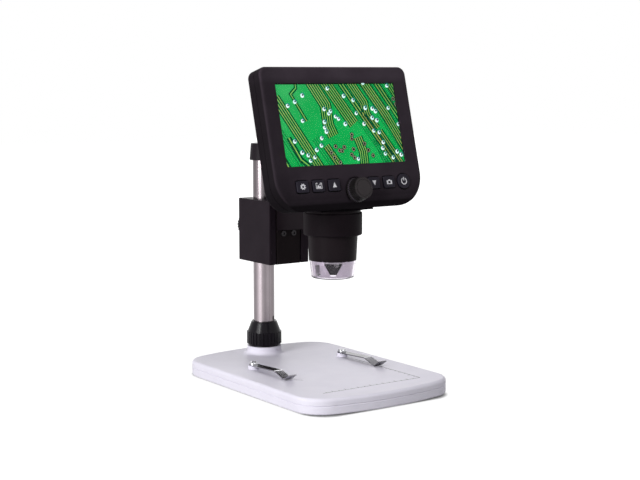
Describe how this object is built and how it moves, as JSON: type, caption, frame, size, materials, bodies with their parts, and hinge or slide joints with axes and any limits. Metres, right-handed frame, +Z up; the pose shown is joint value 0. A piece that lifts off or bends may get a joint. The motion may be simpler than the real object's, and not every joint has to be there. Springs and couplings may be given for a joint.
{
  "type": "lcd digital microscope",
  "caption": "Desk microscope with a tilted display head, key row and focus knob, on a geared arm that slides and turns on a chromed pole over a white stage with spring clips.",
  "frame": {"origin": "middle of the base, on the table surface under the feet", "axes": "+X to the user's right, +Y away from the user towards the pole, +Z up along the pole"},
  "size_m": [0.117, 0.17, 0.2139],
  "materials": {
    "white_shell": "smooth, glossy white",
    "feet_rubber": "matt black",
    "zinc_screws": "bright zinc",
    "ballast_iron": "plain, oiled",
    "chrome_tube": "mirror bright",
    "black_plastic": "smooth, glossy black",
    "collet_nylon": "natural nylon",
    "spring_steel": "polished, nickel plated",
    "dome_screws": "polished",
    "liner_plastic": "smooth slide plastic",
    "black_block": "satin black coat",
    "bronze_bush": "plain turned",
    "black_slide": "satin black coat, brighter on the face",
    "rack_brass": "cut, greased",
    "shaft_steel": "ground",
    "grip_plastic": "satin black, ribbed",
    "black_oxide": "black oxide",
    "arm_metal": "satin black coat",
    "barrel_metal": "satin black coat",
    "inner_black": "dead black inside",
    "clear_plastic": "clear, polished",
    "board_white": "white solder mask",
    "board_green": "green solder mask",
    "led_lens": "clear water-white dome",
    "silver_foil": "vacuum silvered",
    "sensor_dark": "dark cover glass",
    "lens_glass": "coated",
    "case_plastic": "satin charcoal",
    "screen_glass": "clear gloss",
    "lcd_face": "lit picture in a black frame",
    "cell_wrap": "silver foil wrap",
    "port_steel": "tinned",
    "switch_black": "plain",
    "key_plastic": "satin black with white icons"
  },
  "bodies": {
    "base": {"base_top_shell": "white_shell", "base_bottom_cover": "white_shell", "base_screws": "zinc_screws", "rubber_feet": "feet_rubber", "ballast_plate": "ballast_iron", "pole": "chrome_tube", "pole_cap": "black_plastic", "pole_collet": "collet_nylon", "clip_screws": "dome_screws"},
    "lock_nut": {"lock_nut": "black_plastic"},
    "clip_left": {"stage_clip_left": "spring_steel"},
    "clip_right": {"stage_clip_right": "spring_steel"},
    "liner": {"pole_liner": "liner_plastic"},
    "block": {"stand_block": "black_block", "pinion_bush": "bronze_bush", "clamp_insert": "zinc_screws"},
    "clamp": {"clamp_knob": "grip_plastic", "clamp_screw": "shaft_steel"},
    "wheel": {"focus_wheel": "grip_plastic", "pinion_shaft": "shaft_steel"},
    "carriage": {"carriage": "black_slide", "rack": "rack_brass", "tension_screws": "black_oxide", "arm_screws": "black_oxide", "arm_bracket": "arm_metal"},
    "head": {"barrel": "barrel_metal", "barrel_nut": "inner_black", "clear_cap": "clear_plastic", "led_board": "board_white", "leds": "led_lens", "reflector": "silver_foil", "light_shield": "inner_black", "lens_housing": "inner_black", "sensor_board": "board_green", "image_sensor": "sensor_dark", "front_shell": "case_plastic", "rear_shell": "case_plastic", "case_screws": "black_oxide", "screen_window": "screen_glass", "lcd_panel": "lcd_face", "main_board": "board_green", "battery": "cell_wrap", "usb_port": "port_steel", "card_socket": "port_steel", "key_board": "board_green", "key_switches": "switch_black"},
    "lens": {"lens_carrier": "inner_black", "objective_lens": "lens_glass"},
    "knob": {"focus_knob": "grip_plastic", "focus_shaft": "shaft_steel"},
    "key_settings": {"key_settings": "key_plastic"},
    "key_mode": {"key_mode": "key_plastic"},
    "key_up": {"key_up": "key_plastic"},
    "key_down": {"key_down": "key_plastic"},
    "key_camera": {"key_camera": "key_plastic"},
    "power_button": {"power_button": "key_plastic"}
  },
  "joints": [
    {"name": "nut_turn", "type": "hinge", "parent": "base", "child": "lock_nut", "pos_m": [0, 0.064, 0.025], "axis": [0, 0, 1], "range_deg": [0, 180]},
    {"name": "clip_left_swing", "type": "hinge", "parent": "base", "child": "clip_left", "pos_m": [-0.037, 0.02, 0.014], "axis": [0, 0, 1], "range_deg": [-25, 40]},
    {"name": "clip_right_swing", "type": "hinge", "parent": "base", "child": "clip_right", "pos_m": [0.037, 0.02, 0.014], "axis": [0, 0, 1], "range_deg": [-40, 25]},
    {"name": "pole_slide", "type": "slide", "parent": "base", "child": "liner", "axis": [0, 0, 1], "range_m": [-0.04, 0.025]},
    {"name": "pole_swing", "type": "hinge", "parent": "liner", "child": "block", "pos_m": [0, 0.064, 0.1002], "axis": [0, 0, 1], "range_deg": [-90, 90]},
    {"name": "clamp_turn", "type": "hinge", "parent": "block", "child": "clamp", "pos_m": [0, 0.08, 0.1018], "axis": [0, 1, 0], "range_deg": [0, 270]},
    {"name": "coarse_slide", "type": "slide", "parent": "block", "child": "carriage", "axis": [0, 0, 1], "range_m": [-0.012, 0.012]},
    {"name": "coarse_wheel", "type": "hinge", "parent": "block", "child": "wheel", "pos_m": [0, 0.04986, 0.1002], "axis": [1, 0, 0], "range_deg": [-230, 230]},
    {"name": "head_swivel", "type": "hinge", "parent": "carriage", "child": "head", "pos_m": [0, -0.02, 0.112], "axis": [0, 0, 1], "range_deg": [-60, 60]},
    {"name": "lens_slide", "type": "slide", "parent": "head", "child": "lens", "axis": [0, 0, 1], "range_m": [-0.0025, 0.0025]},
    {"name": "focus_turn", "type": "hinge", "parent": "head", "child": "knob", "pos_m": [0.003, -0.04236, 0.13496], "axis": [0, -0.9668, 0.2554], "range_deg": [-54, 54]},
    {"name": "key_settings_press", "type": "slide", "parent": "head", "child": "key_settings", "axis": [0, 0.9668, -0.2554], "range_m": [0, 0.0006], "stiffness_N_per_m": 500, "springref_m": -0.0006},
    {"name": "key_mode_press", "type": "slide", "parent": "head", "child": "key_mode", "axis": [0, 0.9668, -0.2554], "range_m": [0, 0.0006], "stiffness_N_per_m": 500, "springref_m": -0.0006},
    {"name": "key_up_press", "type": "slide", "parent": "head", "child": "key_up", "axis": [0, 0.9668, -0.2554], "range_m": [0, 0.0006], "stiffness_N_per_m": 500, "springref_m": -0.0006},
    {"name": "key_down_press", "type": "slide", "parent": "head", "child": "key_down", "axis": [0, 0.9668, -0.2554], "range_m": [0, 0.0006], "stiffness_N_per_m": 500, "springref_m": -0.0006},
    {"name": "key_camera_press", "type": "slide", "parent": "head", "child": "key_camera", "axis": [0, 0.9668, -0.2554], "range_m": [0, 0.0006], "stiffness_N_per_m": 500, "springref_m": -0.0006},
    {"name": "power_button_press", "type": "slide", "parent": "head", "child": "power_button", "axis": [0, 0.9668, -0.2554], "range_m": [0, 0.0006], "stiffness_N_per_m": 500, "springref_m": -0.0006}
  ],
  "couplings": [
    {"joint": "coarse_wheel", "follows": "coarse_slide", "rad_per_m": -333.33},
    {"joint": "focus_turn", "follows": "lens_slide", "rad_per_m": -371.86}
  ]
}
